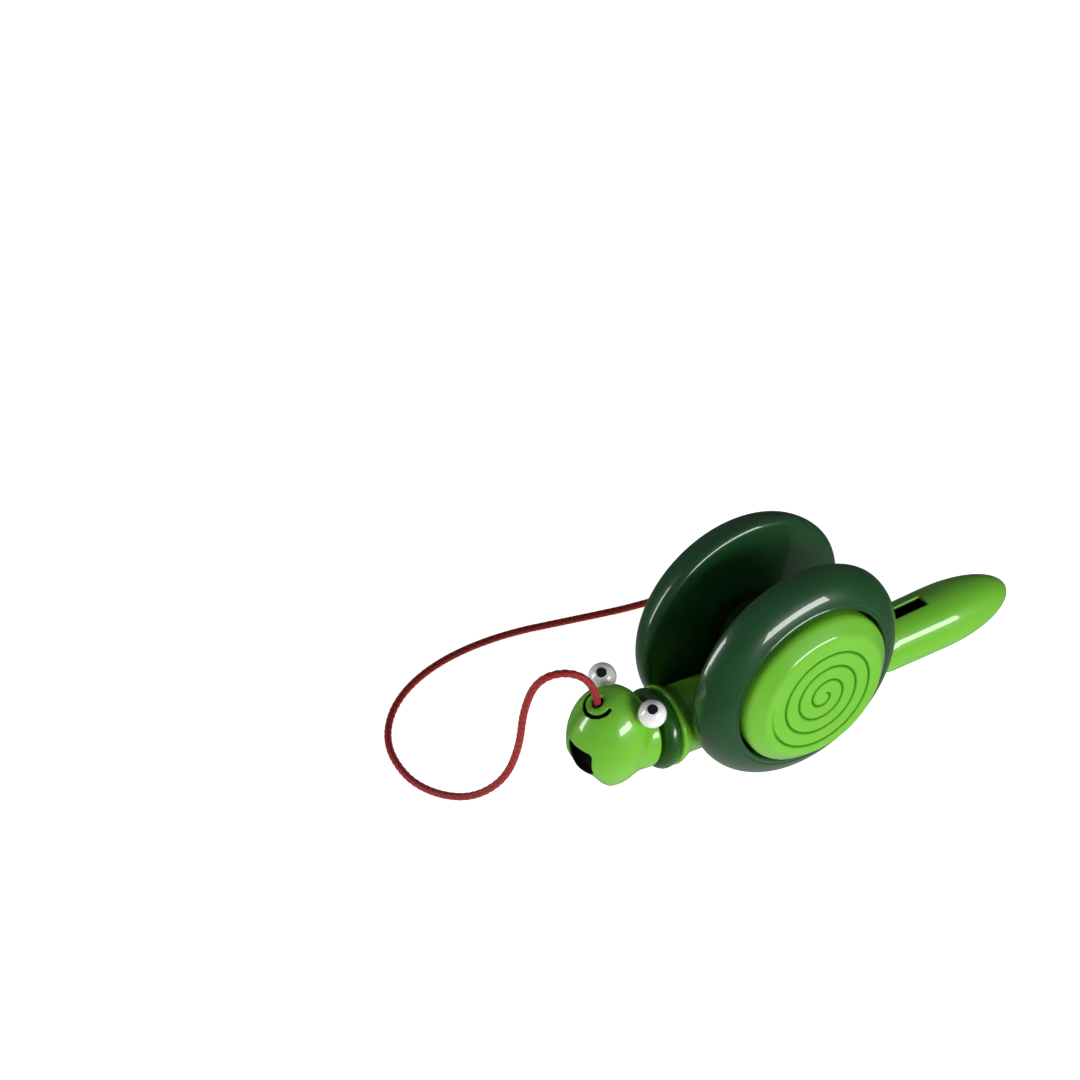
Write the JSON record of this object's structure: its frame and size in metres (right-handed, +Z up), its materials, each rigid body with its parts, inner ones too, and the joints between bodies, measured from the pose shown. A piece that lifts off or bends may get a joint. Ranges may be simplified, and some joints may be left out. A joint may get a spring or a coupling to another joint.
{
  "type": "pull along toy",
  "caption": "Wooden pull-along snail with large spiral-capped wheels, a nodding head, a hinged tail lying on the floor and a pull cord from its nose.",
  "frame": {"origin": "on the floor under the middle of the toy, measured without its cord", "axes": "+Z up, -Y towards the head, +X towards the toy's left, the axle along X"},
  "size_m": [0.0937, 0.1635, 0.06],
  "materials": {
    "light_green": "gloss lacquer",
    "dark_green": "gloss lacquer",
    "bare_wood": "sanded",
    "plywood": "sanded",
    "washer_fibre": "matte",
    "steel": "satin",
    "eye_white": "gloss lacquer",
    "pupil_black": "gloss",
    "red_cord": "braided",
    "tie_white": "matte"
  },
  "bodies": {
    "body": {"trunk": "light_green", "axle_block": "dark_green", "block_dowels": "bare_wood", "neck_ring": "dark_green", "neck_pin": "dark_green", "tail_tongue": "plywood", "tail_pin": "steel", "cord_run": "red_cord", "cord_coil": "red_cord", "cord_tie": "tie_white", "cord_end_knot": "red_cord"},
    "wheelset": {"axle": "bare_wood", "washer_left": "washer_fibre", "washer_right": "washer_fibre", "wheel_left": "dark_green", "wheel_right": "dark_green", "shell_cap_left": "light_green", "shell_cap_right": "light_green"},
    "head": {"head": "light_green", "head_tongue": "plywood", "eye_left": "eye_white", "eye_right": "eye_white", "eye_peg": "bare_wood", "pupil_left": "pupil_black", "pupil_right": "pupil_black", "cord_anchor": "red_cord", "cord_drop": "red_cord"},
    "tail": {"tail": "light_green"}
  },
  "joints": [
    {"name": "wheelset_spin", "type": "hinge", "parent": "body", "child": "wheelset", "pos_m": [0, -0.01011, 0.03], "axis": [1, 0, 0], "continuous": true},
    {"name": "head_nod", "type": "hinge", "parent": "body", "child": "head", "pos_m": [0, -0.04448, 0.01968], "axis": [-1, 0, 0], "range_deg": [-12, 4]},
    {"name": "tail_lift", "type": "hinge", "parent": "body", "child": "tail", "pos_m": [0, 0.02741, 0.00958], "axis": [1, 0, 0], "range_deg": [0, 25]}
  ]
}
